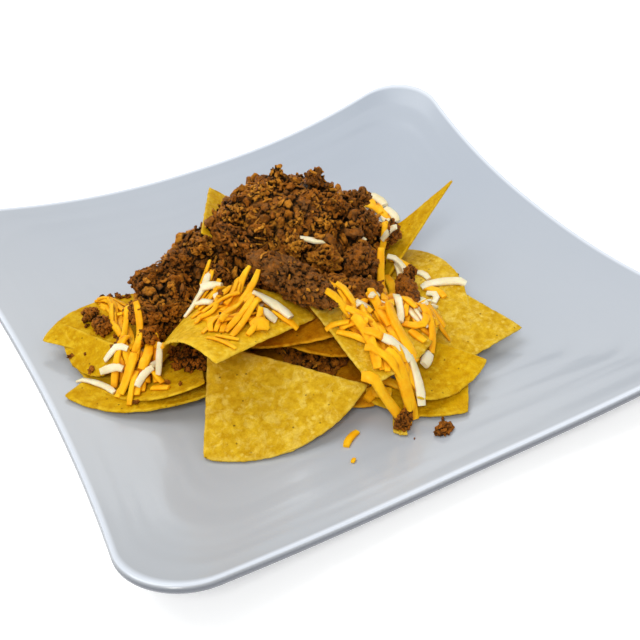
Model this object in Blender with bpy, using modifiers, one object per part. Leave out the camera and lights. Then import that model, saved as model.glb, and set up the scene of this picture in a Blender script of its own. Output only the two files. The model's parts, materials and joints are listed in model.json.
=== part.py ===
# Plated nachos: a mound of minced meat with melted cheese and tortilla chips around it, on a square plate.
# Lengths are metres and Z is up. The plate's centre is the origin, its sides run along X and Y, and its
# foot stands on Z = 0. Chips, cheese and crumbs are placed in millimetres and degrees.
import math

import bmesh
import bpy
from mathutils import Euler, Matrix, Vector, noise
from mathutils.bvhtree import BVHTree

MM = 0.001
GAP = 0.3 * MM             # room kept between neighbouring pieces

# Plate: a rounded square whose sides curve in a little and whose corners turn up
PLATE_HALF = 150 * MM      # centre to the line that joins two corners
PLATE_BOW = 10.6 * MM      # how far the middle of a side sits inside that line
CORNER_RADIUS = 28 * MM
RIM_SIDE = 16.3 * MM       # height of the rim at the middle of a side
RIM_CORNER = 29.7 * MM     # and at a corner
RIM_POWER = 1.27           # how late the rim climbs towards the corner
FLOOR = 6 * MM             # top of the plate at its centre
FLAT_SHARE = 0.35          # share of the way out that stays level
FOOT_SHARE = 0.47          # half width of the foot, as a share of the plate's
FOOT_SLOPE = 0.02          # how far the foot's side leans out
WALL = 4.4 * MM
LIP_SHARE = 0.014          # how far the rounded lip reaches in
LIP_ANGLES = (90, 52, 18, -18, -52, -90)
TOP_RINGS = (0, 0.16, 0.34, 0.46, 0.58, 0.7, 0.82, 0.92)    # shares of the way out
UNDER_RINGS = (0.86, 0.66)
PLATE_STEPS = 64
CORNER_CROWD = 0.6         # how much closer the steps lie at the corners

# Chips: sectors of a fried tortilla, bent about a line across them
CHIP_THICK = 1.8 * MM
CHIP_CELLS = 6
CHIP_MIDDLE = 0.6          # a chip's origin, as a share of the way from its tip to its round edge
CHIP_EDGE = 0.35           # and the nearest edge's distance from it

# Meat mound: a dome with lower spurs, seen from above as (middle, radius, height)
MOUND = ((1, 25), 64, 68)
SPURS = [
    ((-71, 19), 27, 42),    # left end
    ((-44, 30), 34, 51),    # left shoulder
    ((-16, -40), 30, 21),   # under the front chips
]
SPUR_WIDTH = math.radians(19)
DOME_POWER = 0.9           # how full the domes are
MOUND_WAVES = [(5, 0.06, 0), (9, 0.04, 1)]    # bays in its outline: how many, how deep, turned by
MOUND_EDGE = 5 * MM        # thickness at the mound's edge
LUMP = 6.4 * MM
LUMP_SIZE = 13 * MM

# Cheese
CHEESE_CELLS = 6
CHEESE_WAVES = [(3, 0.14), (7, 0.1)]    # bays in a patch's outline: how many, how deep
CHEESE_EDGE = 0.3          # thickness at the edge, as a share of the middle's
CHEESE_LUMPS = 0.35
LOOK_AROUND = 2.5 * MM     # how far around a point draped cheese looks for what lies under it
DRAPE_ROUNDS = 5

# Crumbs
CRUMB_ROUGH = 0.3
CRUMB_LUMP = 1.7           # how many lumps a crumb has across
CRUMB_SINK = 0.75          # height of its middle above what it lies on, in half heights


def clear_scene():
    for thing in list(bpy.data.objects):
        bpy.data.objects.remove(thing, do_unlink=True)


def make_material(name, colour, roughness):
    material = bpy.data.materials.new(name)
    material.use_nodes = True
    shader = material.node_tree.nodes["Principled BSDF"]
    shader.inputs["Base Color"].default_value = (*colour, 1)
    shader.inputs["Roughness"].default_value = roughness
    shader.inputs["Metallic"].default_value = 0
    material.diffuse_color = (*colour, 1)
    return material


def add_piece(name, shape, material, collection, parent=None):
    """Turn a bmesh into a named object, in triangles, so that every tool splits its bent faces alike."""
    mesh = bpy.data.meshes.new(name)
    bmesh.ops.triangulate(shape, faces=shape.faces[:])
    bmesh.ops.recalc_face_normals(shape, faces=shape.faces)
    shape.to_mesh(mesh)
    shape.free()
    piece = bpy.data.objects.new(name, mesh)
    piece.data.materials.append(material)
    collection.objects.link(piece)
    piece.parent = parent
    return piece


# ---- plate ----

def plate_radius(angle):
    """Distance from the centre to the plate's outline in one direction."""
    folded = abs((angle + math.pi / 4) % (math.pi / 2) - math.pi / 4)
    side_radius = (PLATE_HALF**2 + PLATE_BOW**2) / (2 * PLATE_BOW)
    side_centre = PLATE_HALF - PLATE_BOW + side_radius
    # the corner's circle touches both sides from inside, with its centre at (q, q)
    reach = side_radius + CORNER_RADIUS
    q = (side_centre - math.sqrt(2 * reach**2 - side_centre**2)) / 2
    touch_x = side_centre + (q - side_centre) * side_radius / reach
    touch_y = q * side_radius / reach
    cos, sin = math.cos(folded), math.sin(folded)
    if folded <= math.atan2(touch_y, touch_x):
        return side_centre * cos - math.sqrt(side_radius**2 - (side_centre * sin) ** 2)
    return q * (cos + sin) + math.sqrt(CORNER_RADIUS**2 - q**2 * (cos - sin) ** 2)


NEAREST_EDGE = plate_radius(0)
FARTHEST_EDGE = plate_radius(math.pi / 4)


def plate_top(x, y):
    """Height of the plate's upper face."""
    edge = plate_radius(math.atan2(y, x))
    share = min(math.hypot(x, y) / edge, 1)
    climb = max(edge - NEAREST_EDGE, 0) / (FARTHEST_EDGE - NEAREST_EDGE)
    rim = RIM_SIDE + (RIM_CORNER - RIM_SIDE) * climb**RIM_POWER
    rise = max((share - FLAT_SHARE) / (1 - FLAT_SHARE), 0)
    return FLOOR + (rim - FLOOR) * rise**2


def build_plate(collection, material):
    # A round profile is spun first: x is the share of the way out, z is 1 on the upper face, -1 below
    lip = [(1 - LIP_SHARE * (1 - math.cos(a)), math.sin(a)) for a in map(math.radians, LIP_ANGLES)]
    under = (*UNDER_RINGS, FOOT_SHARE + FOOT_SLOPE)
    profile = [(x, 1) for x in TOP_RINGS] + lip + [(x, -1) for x in under]
    profile += [(FOOT_SHARE, -2), (0, -2)]    # -2 marks the foot, which is flat

    shape = bmesh.new()
    points = [shape.verts.new((x, 0, z)) for x, z in profile]
    for a, b in zip(points, points[1:]):
        shape.edges.new((a, b))
    bmesh.ops.spin(shape, geom=shape.verts[:] + shape.edges[:], cent=(0, 0, 0), axis=(0, 0, 1),
                   angle=2 * math.pi, steps=PLATE_STEPS, use_merge=True)
    bmesh.ops.remove_doubles(shape, verts=shape.verts, dist=1e-5)

    for vert in shape.verts:
        share, side = math.hypot(vert.co.x, vert.co.y), vert.co.z
        spun = math.atan2(vert.co.y, vert.co.x)
        angle = spun + CORNER_CROWD * math.sin(4 * spun) / 4
        radius = share * plate_radius(angle)
        x, y = radius * math.cos(angle), radius * math.sin(angle)
        top = plate_top(x, y)
        z = 0 if side < -1.5 else top - WALL * (1 - side) / 2
        vert.co = (x, y, z)
    return add_piece("plate", shape, material, collection)


# ---- chips ----

def chip_point(across, along, side, spread, lean):
    """A point of the flat chip: a unit square's far sides become the round edge, its near corner the tip."""
    x = across * math.sqrt(1 - along**2 / 2)
    y = along * math.sqrt(1 - across**2 / 2)
    swing = math.atan2(y, x) / (math.pi / 4) - 1    # -1 and 1 are the straight edges
    radius = side * math.hypot(x, y) * (1 + lean * swing)
    angle = swing * spread / 2
    return radius * math.cos(angle) - CHIP_MIDDLE * side, radius * math.sin(angle)


def bend(x, y, direction, fold, curls):
    """Roll the flat point up about a line; the two curls are the bends on each side of it."""
    cos, sin = math.cos(direction), math.sin(direction)
    reach = x * cos + y * sin - fold
    across = y * cos - x * sin
    curl = curls[1] if reach > 0 else curls[0]
    if abs(curl) < 1e-6:
        run, lift = reach, 0
    else:
        run, lift = math.sin(curl * reach) / curl, (1 - math.cos(curl * reach)) / curl
    run += fold
    return Vector((run * cos - across * sin, run * sin + across * cos, lift))


def chip_sheet(chip, grow=0):
    """The open middle surface of a chip; grow widens it all round."""
    shape = bmesh.new()
    bmesh.ops.create_grid(shape, x_segments=CHIP_CELLS, y_segments=CHIP_CELLS, size=0.5)
    side = chip["side"] * MM
    for vert in shape.verts:
        spread = math.radians(chip["spread"])
        x, y = chip_point(vert.co.x + 0.5, vert.co.y + 0.5, side, spread, chip["lean"])
        scale = 1 + grow / (CHIP_EDGE * side)
        direction = math.radians(chip["bend_towards"])
        vert.co = bend(x * scale, y * scale, direction, chip["fold"] * MM, chip["curls"])
    return shape


def chip_object(name, chip, material, collection, thick, grow=0):
    piece = add_piece(name, chip_sheet(chip, grow), material, collection)
    piece.location = Vector(chip["at"]) * MM
    piece.rotation_euler = Euler([math.radians(a) for a in chip["turn"]])
    solid = piece.modifiers.new("thickness", "SOLIDIFY")
    solid.thickness = thick
    solid.offset = 0
    return piece


def chip(name, at, turn, side, spread, lean=0, bend_towards=90, fold=0, curls=(0, 0)):
    """at is where its middle lies, side its straight edges' length, spread its angle; curls are per metre."""
    return {"name": name, "at": at, "turn": turn, "side": side, "spread": spread, "lean": lean,
            "bend_towards": bend_towards, "fold": fold, "curls": curls}


# A chip that runs into one listed before it is broken off there
CHIPS = [
    chip("chip_front", (-58.9, -61.9, 18.9), (14, 18, -81), 67, 71, 0.14, 113, 3, (3, -0.9)),
    chip("chip_arch", (-57.9, -29.2, 47.5), (8, 8, 63), 66, 82, 0, 73, -4, (-8.9, -32.4)),
    chip("chip_slope", (0.3, -60.2, 36.5), (-4, 14, -56), 66, 60, 0.05, 90, 0, (-5, -5)),
    chip("chip_right_middle", (18.6, -76.6, 18.5), (11, 11, -79), 54, 47, 0.01, 99, 6, (23.3, 1.4)),
    chip("chip_right_upper", (48.3, -63, 18.4), (-8, -6, 150), 46, 77, 0, 103, 0, (-3.5, -2.8)),
    chip("chip_right_back", (36.9, -28.9, 19.1), (2, -8, -9), 69, 85, 0, 90, 0, (-6.7, -9.8)),
    chip("chip_back", (-16.8, 44.4, 38.5), (-27, 15, -83), 48, 80),
    chip("chip_left_inner", (-110.7, 2.2, 21.6), (-29, 20, 141), 34, 58, -0.45, 107, 3.5, (-3.9, 5.2)),
    chip("chip_left_upper", (-85.2, 19.1, 20.4), (10, 4, 85), 63, 91, 0, 126, 0, (5, -13.1)),
    chip("chip_left_middle", (-91.5, -1.2, 14.3), (0, 1, -150), 63, 92, 0.07, 78, -2, (2.6, 10.5)),
    chip("chip_left_lower", (-82.6, -12.8, 13.7), (6, -7, -107), 72, 86, 0.01, 62, -1, (9.2, -4.1)),
    chip("chip_right_lower", (18.9, -86.5, 13.1), (0, 5, -149), 53, 51, -0.14, 90, 0, (2.6, 0.9)),
    chip("chip_upright", (52.4, 0, 29.3), (8, 31, 187), 66, 26, 0.03, 100, 0, (32.3, 20.3)),
    chip("chip_inside_upper", (-28.8, -18.9, 31.8), (6, 5, -128), 66, 87, 0, 90, 0, (-0.6, -2.7)),
    chip("chip_inside_lower", (-6.8, -39.3, 25.1), (-4, 1, -125), 52, 52, 0, 90, 0, (-0.8, 0)),
    chip("chip_under_front", (-23.1, -35.5, 9.8), (1, -1, -152), 66, 85, 0.05),
    chip("chip_shard", (-4.3, -88.6, 9.9), (4, -4, -115), 40, 9, 0.04),
]

# Cheese lying over the chips: middle, half length and half width, turn, thickness
CHEESE = [
    ("cheese_left", (-94, -10), (28, 13), -62, 5),
    ("cheese_arch", (-50, -30), (25, 15), 25, 5),
    ("cheese_slope", (3, -68), (32, 13), -70, 5.5),
    ("cheese_right", (31, -52), (27, 10), -66, 5.5),
    ("cheese_back", (50, 10), (15, 7), 70, 5),
]

# Larger crumbs of meat that lie apart: middle, half sizes, turn
CRUMBS = [
    ("meat_right", (33, -37), (12, 5.5, 5.5), 70),
    ("meat_front", (-7, -99), (6.5, 4.5, 5), 40),
    ("meat_on_plate", (6, -111), (5.5, 4, 3.5), 10),
    ("meat_left_1", (-103, 33), (5, 4, 3.5), 30),
    ("meat_left_2", (-102, 21), (6.5, 5, 4), 75),
    ("meat_left_3", (-97, 4), (5.5, 5, 4), 20),
    ("meat_left_4", (-84, -6), (7, 5, 4.5), 60),
]


# ---- cutting and resting ----

def world_mesh(pieces):
    """Vertices and faces of the finished pieces, in world space."""
    bpy.context.view_layer.update()
    graph = bpy.context.evaluated_depsgraph_get()
    verts, faces = [], []
    for piece in pieces:
        evaluated = piece.evaluated_get(graph)
        mesh = evaluated.to_mesh()
        base = len(verts)
        verts += [evaluated.matrix_world @ v.co for v in mesh.vertices]
        faces += [[base + i for i in face.vertices] for face in mesh.polygons]
        evaluated.to_mesh_clear()
    return verts, faces


def world_tree(pieces):
    return BVHTree.FromPolygons(*world_mesh(pieces))


def keep_largest_body(mesh):
    shape = bmesh.new()
    shape.from_mesh(mesh)
    left = set(shape.verts)
    bodies = []
    while left:
        body, edge = set(), [left.pop()]
        while edge:
            vert = edge.pop()
            body.add(vert)
            for link in vert.link_edges:
                other = link.other_vert(vert)
                if other in left:
                    left.discard(other)
                    edge.append(other)
        bodies.append(body)

    def area(body):
        return sum(face.calc_area() for face in {f for v in body for f in v.link_faces})

    bodies.sort(key=area, reverse=True)
    bmesh.ops.delete(shape, geom=[v for body in bodies[1:] for v in body], context="VERTS")
    shape.to_mesh(mesh)
    shape.free()


def cut_away(piece, cutters):
    """Cut what touches out of a piece, and keep its largest remaining body."""
    own = world_tree([piece])
    touching = [cutter for cutter in cutters if own.overlap(world_tree([cutter]))]
    if not touching:
        return
    for cutter in touching:
        cut = piece.modifiers.new("cut", "BOOLEAN")
        cut.operation = "DIFFERENCE"
        cut.solver = "EXACT"
        cut.object = cutter
    bpy.context.view_layer.update()
    graph = bpy.context.evaluated_depsgraph_get()
    mesh = bpy.data.meshes.new_from_object(piece.evaluated_get(graph))
    piece.modifiers.clear()
    keep_largest_body(mesh)
    piece.data = mesh


def inflated(piece, collection):
    """A copy of a lumpy piece, swollen by the gap, to cut its neighbours with."""
    verts, faces = world_mesh([piece])
    mesh = bpy.data.meshes.new(piece.name + "_cutter")
    mesh.from_pydata(verts, [], faces)
    shape = bmesh.new()
    shape.from_mesh(mesh)
    shape.normal_update()
    moved = {vert: vert.co + vert.normal * 1.5 * GAP for vert in shape.verts}
    for vert, place in moved.items():
        vert.co = place
    shape.to_mesh(mesh)
    shape.free()
    cutter = bpy.data.objects.new(mesh.name, mesh)
    collection.objects.link(cutter)
    return cutter


def resting_height(tree, x, y, around):
    """The highest surface near a point, or the plate itself."""
    best = plate_top(x, y)
    for dx in (-around, 0, around):
        for dy in (-around, 0, around):
            hit = tree.ray_cast(Vector((x + dx, y + dy, 0.3)), Vector((0, 0, -1)))[0]
            if hit:
                best = max(best, hit.z)
    return best


def lumps(place, seed):
    return noise.noise(Vector(place) / LUMP_SIZE + Vector((seed, 2 * seed, 0)))


# ---- meat and cheese ----

def dome(x, y, middle, radius, height):
    share = math.hypot(x - middle[0] * MM, y - middle[1] * MM) / (radius * MM)
    return height * MM * max(1 - share**2, 0) ** DOME_POWER


def mound_reach(angle):
    """How far the mound spreads in one direction, with a swelling for each spur."""
    reach = MOUND[1] * MM
    for (x, y), radius, _ in SPURS:
        x, y = (x - MOUND[0][0]) * MM, (y - MOUND[0][1]) * MM
        off = (angle - math.atan2(y, x) + math.pi) % (2 * math.pi) - math.pi
        extra = max(math.hypot(x, y) + DOME_POWER * radius * MM - reach, 0)
        reach += extra * math.exp(-((off / SPUR_WIDTH) ** 2))
    return reach


def build_mound(collection, material):
    shape = bmesh.new()
    bmesh.ops.create_icosphere(shape, subdivisions=4, radius=1)
    for vert in shape.verts:
        angle = math.atan2(vert.co.y, vert.co.x)
        share = min(math.hypot(vert.co.x, vert.co.y), 1)
        share = 1 - (1 - share) ** 0.75 if vert.co.z > 0 else share
        bays = sum(depth * math.sin(count * angle + phase) for count, depth, phase in MOUND_WAVES)
        radius = share * mound_reach(angle) * (1 + bays)
        x, y = MOUND[0][0] * MM + radius * math.cos(angle), MOUND[0][1] * MM + radius * math.sin(angle)
        bottom = plate_top(x, y) + 1.5 * GAP
        if vert.co.z > 0:
            body = max(dome(x, y, *form) for form in [MOUND] + SPURS)
            z = max(body, bottom + MOUND_EDGE * math.sqrt(max(1 - share, 0)))
            z += LUMP * lumps((x, y, z), 3) * min(4 * (1 - share), 1)
            z = max(z, bottom + 0.2 * MM)
        else:
            z = bottom
        vert.co = (x, y, z)
    return add_piece("meat_mound", shape, material, collection)


def build_cheese(name, middle, half, turn, thick, tree, collection, material):
    shape = bmesh.new()
    bmesh.ops.create_grid(shape, x_segments=CHEESE_CELLS, y_segments=CHEESE_CELLS, size=1)
    turning = Matrix.Rotation(math.radians(turn), 2)
    seed = sum(ord(letter) for letter in name)
    shares = {}
    for vert in shape.verts:
        u, v = vert.co.x, vert.co.y
        x, y = u * math.sqrt(1 - v * v / 2), v * math.sqrt(1 - u * u / 2)
        share = math.hypot(x, y)
        wave = 1 + sum(depth * math.sin(count * math.atan2(y, x) + seed) for count, depth in CHEESE_WAVES)
        flat = turning @ Vector((x * half[0] * MM * wave, y * half[1] * MM * wave))
        px, py = flat.x + middle[0] * MM, flat.y + middle[1] * MM
        vert.co = (px, py, resting_height(tree, px, py, LOOK_AROUND) + 2 * GAP)
        shares[(round(px, 6), round(py, 6))] = share
    for _ in range(DRAPE_ROUNDS):    # melted cheese bridges the hollows between the things it lies on
        rest = {v: sum(e.other_vert(v).co.z for e in v.link_edges) / len(v.link_edges) for v in shape.verts}
        for vert, height in rest.items():
            vert.co.z = max(vert.co.z, height)
    raised = bmesh.ops.extrude_face_region(shape, geom=shape.faces[:])
    for vert in (v for v in raised["geom"] if isinstance(v, bmesh.types.BMVert)):
        share = shares[(round(vert.co.x, 6), round(vert.co.y, 6))]
        body = thick * MM * (CHEESE_EDGE + (1 - CHEESE_EDGE) * math.sqrt(max(1 - share**2, 0)))
        vert.co.z += body * (1 + CHEESE_LUMPS * lumps(vert.co, seed))
    return add_piece(name, shape, material, collection)


def build_crumb(name, middle, half, turn, tree, collection, material):
    shape = bmesh.new()
    bmesh.ops.create_icosphere(shape, subdivisions=2, radius=1)
    turning = Matrix.Rotation(math.radians(turn), 3, "Z")
    seed = sum(ord(letter) for letter in name)
    for vert in shape.verts:
        rough = 1 + CRUMB_ROUGH * noise.noise(vert.co * CRUMB_LUMP + Vector((seed, 0, 0)))
        vert.co = turning @ Vector([c * h * MM * rough for c, h in zip(vert.co, half)])
    rest = resting_height(tree, middle[0] * MM, middle[1] * MM, 0)
    for vert in shape.verts:
        vert.co += Vector((middle[0] * MM, middle[1] * MM, rest + CRUMB_SINK * half[2] * MM))
        lowest = plate_top(vert.co.x, vert.co.y) + 2 * GAP
        if vert.co.z < lowest:
            vert.co.z = lowest + 0.02 * (vert.co.z - lowest + half[2] * MM)
    return add_piece(name, shape, material, collection)


def main():
    clear_scene()
    parts = bpy.data.collections.new("plated_nachos")
    tools = bpy.data.collections.new("cutters")
    for collection in (parts, tools):
        bpy.context.scene.collection.children.link(collection)
    china = make_material("glazed_china", (0.52, 0.55, 0.6), 0.18)
    corn = make_material("fried_corn", (0.66, 0.40, 0.02), 0.6)
    meat = make_material("browned_meat", (0.2, 0.07, 0.014), 0.5)
    cheese = make_material("melted_cheese", (0.92, 0.45, 0.03), 0.4)

    plate = build_plate(parts, china)
    chips, chip_cutters = [], []
    for spec in CHIPS:
        piece = chip_object(spec["name"], spec, corn, parts, CHIP_THICK)
        cut_away(piece, chip_cutters)
        chips.append(piece)
        chip_cutters.append(chip_object(spec["name"] + "_cutter", spec, corn, tools,
                                        CHIP_THICK + 2.4 * GAP, 1.2 * GAP))

    mound = build_mound(parts, meat)
    cut_away(mound, chip_cutters)
    cutters = chip_cutters + [inflated(mound, tools)]

    toppings = [plate, mound] + chips
    for row in CHEESE:
        piece = build_cheese(*row, world_tree(toppings), parts, cheese)
        cut_away(piece, cutters)
        toppings.append(piece)
        cutters.append(inflated(piece, tools))
    for row in CRUMBS:
        piece = build_crumb(*row, world_tree(toppings), parts, meat)
        cut_away(piece, cutters)
        toppings.append(piece)
        cutters.append(inflated(piece, tools))

    for cutter in cutters:
        bpy.data.objects.remove(cutter, do_unlink=True)
    bpy.data.collections.remove(tools)


main()
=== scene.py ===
import json
import math
import random

import bmesh
import bpy
from mathutils import Euler, Matrix, Vector, noise
from mathutils.bvhtree import BVHTree

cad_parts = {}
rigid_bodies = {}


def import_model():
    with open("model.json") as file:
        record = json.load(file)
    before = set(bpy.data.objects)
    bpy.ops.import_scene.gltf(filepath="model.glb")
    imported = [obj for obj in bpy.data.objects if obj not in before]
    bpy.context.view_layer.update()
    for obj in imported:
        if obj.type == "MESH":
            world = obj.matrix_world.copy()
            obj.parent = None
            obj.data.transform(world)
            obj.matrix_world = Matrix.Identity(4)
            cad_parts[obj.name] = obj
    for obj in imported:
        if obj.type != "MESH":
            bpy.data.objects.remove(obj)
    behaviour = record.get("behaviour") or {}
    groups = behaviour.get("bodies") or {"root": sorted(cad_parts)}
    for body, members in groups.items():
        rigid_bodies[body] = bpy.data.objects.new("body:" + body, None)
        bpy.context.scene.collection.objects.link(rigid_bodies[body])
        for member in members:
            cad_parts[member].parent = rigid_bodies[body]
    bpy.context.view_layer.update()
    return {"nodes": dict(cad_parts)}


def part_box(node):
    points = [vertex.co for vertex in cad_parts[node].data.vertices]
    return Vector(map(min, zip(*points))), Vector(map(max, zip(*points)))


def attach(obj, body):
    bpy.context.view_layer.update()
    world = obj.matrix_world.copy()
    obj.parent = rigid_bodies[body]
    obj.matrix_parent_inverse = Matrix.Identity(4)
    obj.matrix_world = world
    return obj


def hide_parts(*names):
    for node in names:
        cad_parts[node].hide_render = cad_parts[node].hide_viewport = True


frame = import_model()
cad = frame["nodes"]
mm = 0.001
scene = bpy.context.scene


# small helpers

def addNode(tree, kind, inputs=None, **settings):
    # a node with its settings, and its sockets either linked or given a value
    node = tree.nodes.new(kind)
    for key, value in settings.items():
        setattr(node, key, value)
    for key, value in (inputs or {}).items():
        if isinstance(value, bpy.types.NodeSocket):
            tree.links.new(value, node.inputs[key])
        else:
            node.inputs[key].default_value = value
    return node


def wire(tree, kind, inputs=None, **settings):
    return addNode(tree, kind, inputs, **settings).outputs[0]


def maths(tree, operation, first, second=0.0, clamp=False):
    return wire(tree, "ShaderNodeMath", {0: first, 1: second}, operation=operation, use_clamp=clamp)


def vectors(tree, operation, first, second):
    # the second is a vector, or a number to scale by
    key = "Scale" if operation == "SCALE" else 1
    return wire(tree, "ShaderNodeVectorMath", {0: first, key: second}, operation=operation)


def addObject(name, mesh, material=None):
    if material:
        mesh.materials.append(material)
        mesh.shade_smooth()
    piece = bpy.data.objects.new(name, mesh)
    scene.collection.objects.link(piece)
    return piece


def meshObject(name, points, faces, material, edges=()):
    mesh = bpy.data.meshes.new(name)
    mesh.from_pydata([tuple(p) for p in points], edges, faces)
    mesh.validate()
    return addObject(name, mesh, material)


def shapeObject(name, shape, material=None):
    mesh = bpy.data.meshes.new(name)
    shape.to_mesh(mesh)
    shape.free()
    return addObject(name, mesh, material)


def setValues(piece, name, values):
    piece.data.attributes.new(name, "FLOAT", "POINT").data.foreach_set("value", values)


def pointOutwards(piece):
    shape = bmesh.new()
    shape.from_mesh(piece.data)
    bmesh.ops.recalc_face_normals(shape, faces=shape.faces)
    shape.to_mesh(piece.data)
    shape.free()


def finishPiece(piece, slotName, *nodeNames):
    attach(piece, "root")
    if nodeNames:
        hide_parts(*nodeNames)


def treeOf(pieces):
    points, faces = [], []
    for piece in pieces:
        base = len(points)
        points += [v.co.copy() for v in piece.data.vertices]
        faces += [[base + i for i in f.vertices] for f in piece.data.polygons]
    return BVHTree.FromPolygons(points, faces)


def newTree(name, sockets):
    tree = bpy.data.node_groups.new(name, "GeometryNodeTree")
    tree.interface.new_socket(name="Geometry", in_out="INPUT", socket_type="NodeSocketGeometry")
    for label, kind in sockets:
        tree.interface.new_socket(name=label, in_out="INPUT", socket_type="NodeSocket" + kind)
    tree.interface.new_socket(name="Geometry", in_out="OUTPUT", socket_type="NodeSocketGeometry")
    return tree, tree.nodes.new("NodeGroupInput").outputs


def endTree(tree, geometry, material, rounded=True):
    real = wire(tree, "GeometryNodeRealizeInstances", {"Geometry": geometry})
    smooth = wire(tree, "GeometryNodeSetShadeSmooth", {"Geometry": real, "Shade Smooth": rounded})
    painted = wire(tree, "GeometryNodeSetMaterial", {"Geometry": smooth, "Material": material})
    tree.links.new(painted, tree.nodes.new("NodeGroupOutput").inputs["Geometry"])


def growPiece(name, host, tree, values):
    # run a tree on a host once, keep the result as a plain mesh and drop the host
    modifier = host.modifiers.new(name, "NODES")
    modifier.node_group = tree
    for item in tree.interface.items_tree:
        if item.in_out == "INPUT" and item.name in values:
            modifier[item.identifier] = values[item.name]
    graph = bpy.context.evaluated_depsgraph_get()
    mesh = bpy.data.meshes.new_from_object(host.evaluated_get(graph))
    host.modifiers.remove(modifier)
    bpy.data.objects.remove(host)
    mesh.name = name
    print(f"  {name}: {len(mesh.polygons)} faces")
    return addObject(name, mesh)


# camera, floor and light

camera = {"azimuth": -25.24, "elevation": 39.37, "roll": -4.4, "distance": 0.57775, "lens": 64.69,
          "target": (0.001785, -0.003565, 0)}
lighting = {"sky": 0.52, "skyColour": (0.95, 0.975, 1.0),
            # where each sun shines from, its strength, angle and colour
            "suns": [("keySun", (-0.55, -0.87, 1.2), 1.5, 20, (1.0, 0.985, 0.95)),
                     ("backSun", (-0.4, 0.6, 1.5), 1.15, 42, (0.94, 0.97, 1.0))],
            "box": {"at": (0.35, 0.65, 0.7), "size": 0.5, "power": 1.0}, "floorGlow": 0.3}


def makeCamera(values):
    degrees = (values["azimuth"], 90 - values["elevation"], values["roll"])
    turn, tilt, roll = (math.radians(d) for d in degrees)
    facing = Matrix.Rotation(turn, 4, "Z") @ Matrix.Rotation(tilt, 4, "X") @ Matrix.Rotation(roll, 4, "Z")
    place = Vector(values["target"]) + facing.col[2].xyz * values["distance"]
    data = bpy.data.cameras.new("camera")
    data.sensor_width, data.lens = 36, values["lens"]
    data.clip_start, data.clip_end = 0.01, 20
    eye = bpy.data.objects.new("camera", data)
    eye.matrix_world = Matrix.Translation(place) @ facing
    scene.collection.objects.link(eye)
    scene.camera = eye


def addLight(name, kind, source, **settings):
    # a light at its source, aimed at the middle of the floor
    data = bpy.data.lights.new(name, kind)
    for key, value in settings.items():
        setattr(data, key, value)
    lamp = bpy.data.objects.new(name, data)
    lamp.location = source
    lamp.rotation_euler = (-Vector(source)).to_track_quat("-Z", "Y").to_euler()
    scene.collection.objects.link(lamp)


def makeLight(values):
    world = bpy.data.worlds.new("studio")
    world.use_nodes = True
    sky = world.node_tree.nodes["Background"]
    sky.inputs["Color"].default_value = (*values["skyColour"], 1)
    sky.inputs["Strength"].default_value = values["sky"]
    scene.world = world
    for name, source, strength, angle, colour in values["suns"]:
        addLight(name, "SUN", source, energy=strength, angle=math.radians(angle), color=colour)
    box = values["box"]
    addLight("softBox", "AREA", box["at"], shape="SQUARE", size=box["size"], energy=box["power"])


def makeFloor():
    material = bpy.data.materials.new("paleFloor")
    material.use_nodes = True
    # it glows faintly, like a light table, so that shadows stay soft
    values = {"Base Color": (0.95, 0.95, 0.95, 1), "Roughness": 0.9, "Specular IOR Level": 0.1,
              "Emission Color": (1, 1, 1, 1), "Emission Strength": lighting["floorGlow"]}
    for socket, value in values.items():
        material.node_tree.nodes["Principled BSDF"].inputs[socket].default_value = value
    meshObject("floor", [(-4, -4, 0), (4, -4, 0), (4, 4, 0), (-4, 4, 0)], [(0, 1, 2, 3)], material)


makeCamera(camera)
makeLight(lighting)
makeFloor()
scene.view_settings.view_transform = "Standard"
print("camera, light and floor ready")


# materials

def startMaterial(name, specular, sheen=(1, 1, 1)):
    material = bpy.data.materials.new(name)
    material.use_nodes = True
    tree = material.node_tree
    shader = tree.nodes["Principled BSDF"]
    shader.inputs["Specular IOR Level"].default_value = specular
    shader.inputs["Specular Tint"].default_value = (*sheen, 1)
    return material, tree, shader, tree.nodes.new("ShaderNodeTexCoord").outputs["Object"]


def noiseNode(tree, where, scale, detail=2.0, roughness=0.5, distortion=0.0):
    return addNode(tree, "ShaderNodeTexNoise", {"Vector": where, "Scale": scale, "Detail": detail,
                                                "Roughness": roughness, "Distortion": distortion})


def noiseOf(tree, where, *waves):
    # waves: scale, detail, and where given roughness and distortion
    return noiseNode(tree, where, *waves).outputs["Fac"]


def rampOf(tree, value, low, high):
    return wire(tree, "ShaderNodeMapRange", {"Value": value, "From Min": low, "From Max": high})


def patchOf(tree, where, low, high, *waves):
    return rampOf(tree, noiseOf(tree, where, *waves), low, high)


def spanOf(tree, value, low, high):
    return wire(tree, "ShaderNodeMapRange", {"Value": value, "To Min": low, "To Max": high})


def blendOf(tree, share, first, second):
    node = addNode(tree, "ShaderNodeMix", {0: share}, data_type="RGBA")
    for index, value in ((6, first), (7, second)):
        if isinstance(value, bpy.types.NodeSocket):
            tree.links.new(value, node.inputs[index])
        else:
            node.inputs[index].default_value = (*value, 1)
    return node.outputs[2]


def bumpOf(tree, height, strength, distance, under=None):
    inputs = {"Height": height, "Strength": strength, "Distance": distance}
    if under:
        inputs["Normal"] = under
    return addNode(tree, "ShaderNodeBump", inputs).outputs["Normal"]


def attributeOf(tree, name):
    return addNode(tree, "ShaderNodeAttribute", attribute_name=name).outputs["Fac"]


def layersOf(tree, colour, look, layers):
    # each layer: where it shows, how much of it, and which of the look's colours it brings
    for mask, share, over in layers:
        colour = blendOf(tree, maths(tree, "MULTIPLY", mask, share), colour, look[over])
    return colour


def endMaterial(material, colour, rough, bump):
    tree = material.node_tree
    shader = tree.nodes["Principled BSDF"]
    for socket, value in (("Base Color", colour), ("Roughness", rough), ("Normal", bump)):
        tree.links.new(value, shader.inputs[socket])
    return material


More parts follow.
